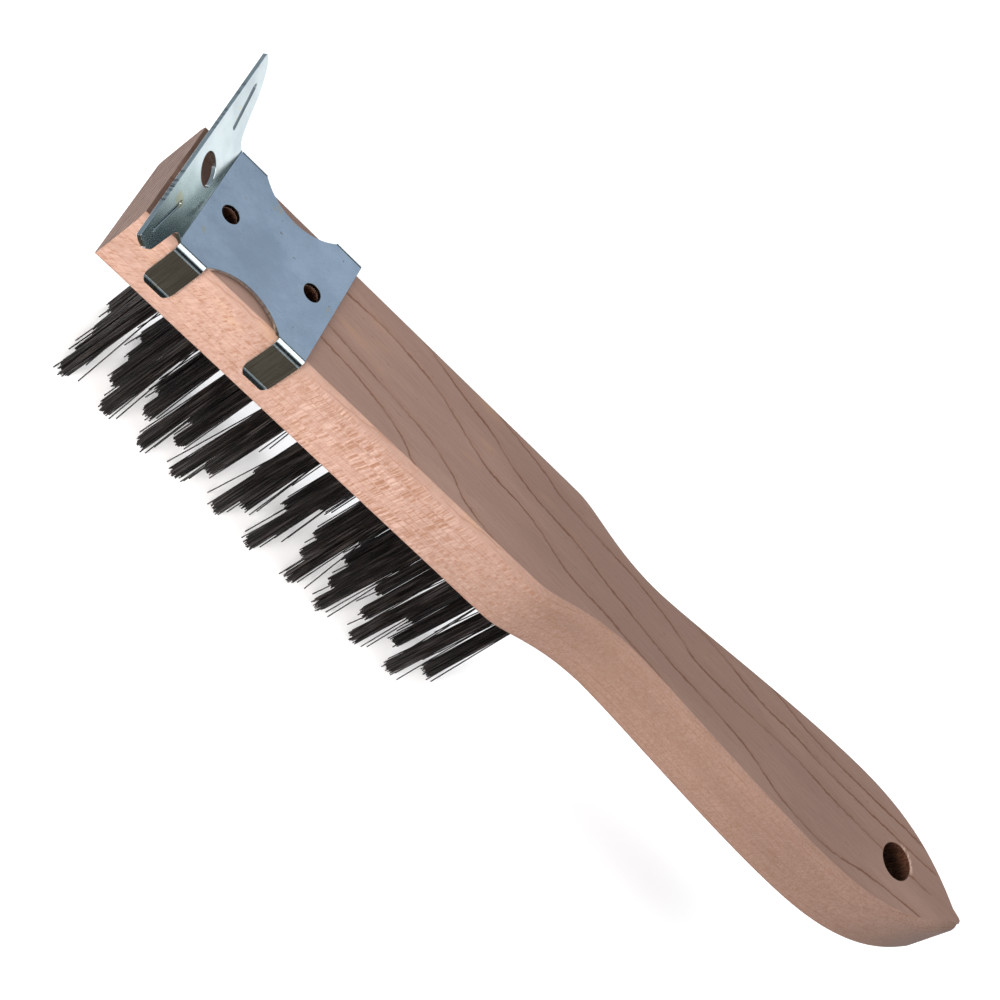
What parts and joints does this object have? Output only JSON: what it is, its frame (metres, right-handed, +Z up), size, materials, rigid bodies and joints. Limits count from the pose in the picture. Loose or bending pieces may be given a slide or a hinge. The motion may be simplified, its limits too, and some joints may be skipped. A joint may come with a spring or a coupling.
{
  "type": "wire brush",
  "caption": "Hand wire brush with a one-piece wooden block and contoured handle, rows of steel wire tufts and a clip-on sheet-steel scraper at the front end.",
  "frame": {"origin": "below the middle of the whole brush's box, 1.85 mm to the +Y side of the block's middle plane because the blade is off centre, on the plane of the bristle tips", "axes": "+X from the block's front end towards the handle tip, +Y across the block, +Z up from the bristle tips to the top face"},
  "size_m": [0.2874, 0.0736, 0.0749],
  "materials": {
    "wood": "bare close-grained hardwood, sanded",
    "zinc": "bright zinc-plated spring sheet steel",
    "wire": "dark oiled carbon-steel wire"
  },
  "bodies": {
    "brush": {"handle_block": "wood", "tuft_r1_01": "wire", "tuft_r1_02": "wire", "tuft_r1_03": "wire", "tuft_r1_04": "wire", "tuft_r1_05": "wire", "tuft_r1_06": "wire", "tuft_r1_07": "wire", "tuft_r1_08": "wire", "tuft_r1_09": "wire", "tuft_r1_10": "wire", "tuft_r2_01": "wire", "tuft_r2_02": "wire", "tuft_r2_03": "wire", "tuft_r2_04": "wire", "tuft_r2_05": "wire", "tuft_r2_06": "wire", "tuft_r2_07": "wire", "tuft_r2_08": "wire", "tuft_r2_09": "wire", "tuft_r2_10": "wire", "tuft_r2_11": "wire", "tuft_r2_12": "wire", "tuft_r3_01": "wire", "tuft_r3_02": "wire", "tuft_r3_03": "wire", "tuft_r3_04": "wire", "tuft_r3_05": "wire", "tuft_r3_06": "wire", "tuft_r3_07": "wire", "tuft_r3_08": "wire", "tuft_r3_09": "wire", "tuft_r3_10": "wire", "tuft_r3_11": "wire", "tuft_r3_12": "wire", "tuft_r4_01": "wire", "tuft_r4_02": "wire", "tuft_r4_03": "wire", "tuft_r4_04": "wire", "tuft_r4_05": "wire", "tuft_r4_06": "wire", "tuft_r4_07": "wire", "tuft_r4_08": "wire", "tuft_r4_09": "wire", "tuft_r4_10": "wire"},
    "scraper": {"scraper_clip": "zinc"}
  },
  "joints": [
    {"name": "scraper_pull_off", "type": "slide", "parent": "brush", "child": "scraper", "axis": [0, 0, 1], "range_m": [0, 0.03]}
  ]
}
